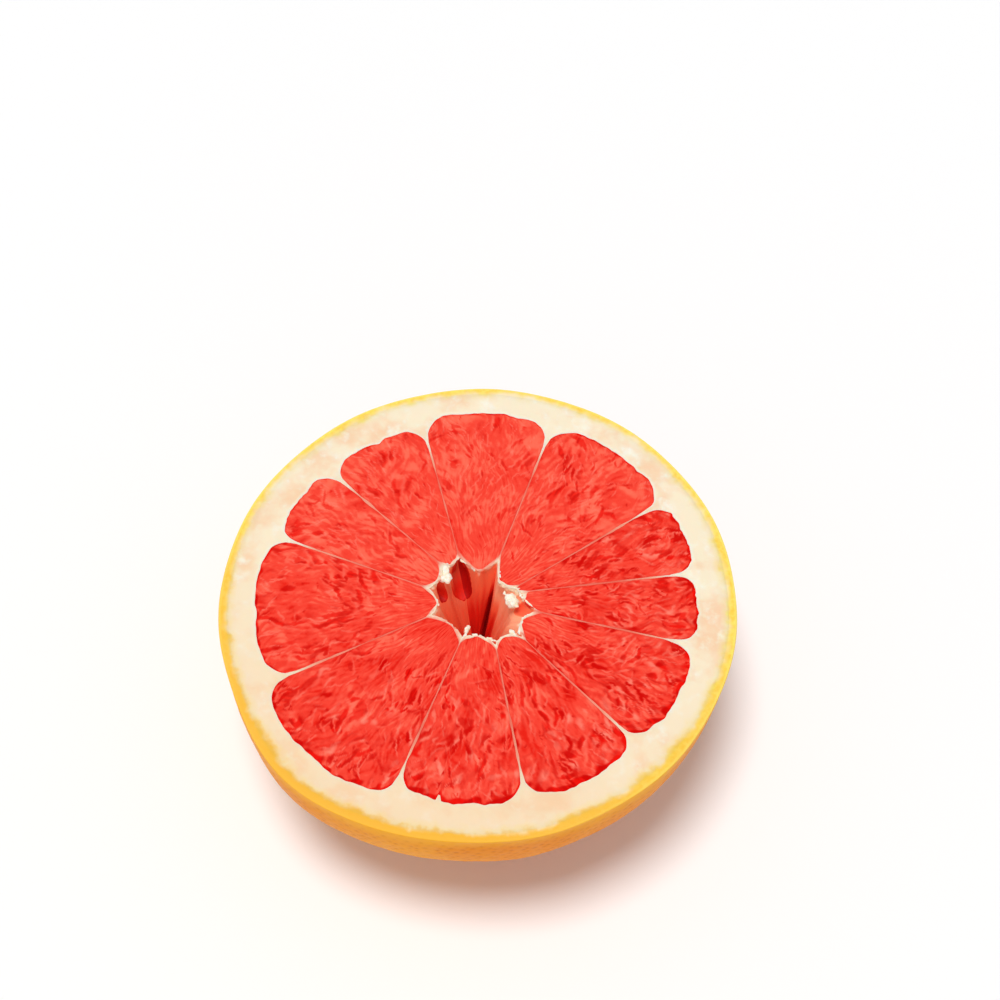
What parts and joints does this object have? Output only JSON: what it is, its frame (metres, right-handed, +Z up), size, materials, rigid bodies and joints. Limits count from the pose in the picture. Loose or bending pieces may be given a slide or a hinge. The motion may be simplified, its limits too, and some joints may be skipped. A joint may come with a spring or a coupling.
{
  "type": "pink pomelo half",
  "caption": "Half of a pink pomelo or grapefruit, cut across: thin yellow peel, pale pith and red pulp segments round an open core. Rests cut face up.",
  "frame": {"origin": "middle of the small flat spot at the blossom end, on which the half rests", "axes": "+Z up along the fruit's core, out of the cut face; -Y towards the front of the cut face, +X to its right"},
  "size_m": [0.1099, 0.11, 0.048],
  "materials": {
    "peel": "satin, pored, yellow-orange with a warm blush",
    "pith": "matt, soft and slightly fibrous, cream",
    "pulp": "wet and glossy, juice sacs, coral red"
  },
  "bodies": {
    "root": {"peel": "peel", "pith": "pith", "segment_01": "pulp", "segment_02": "pulp", "segment_03": "pulp", "segment_04": "pulp", "segment_05": "pulp", "segment_06": "pulp", "segment_07": "pulp", "segment_08": "pulp", "segment_09": "pulp", "segment_10": "pulp", "segment_11": "pulp"}
  },
  "joints": []
}
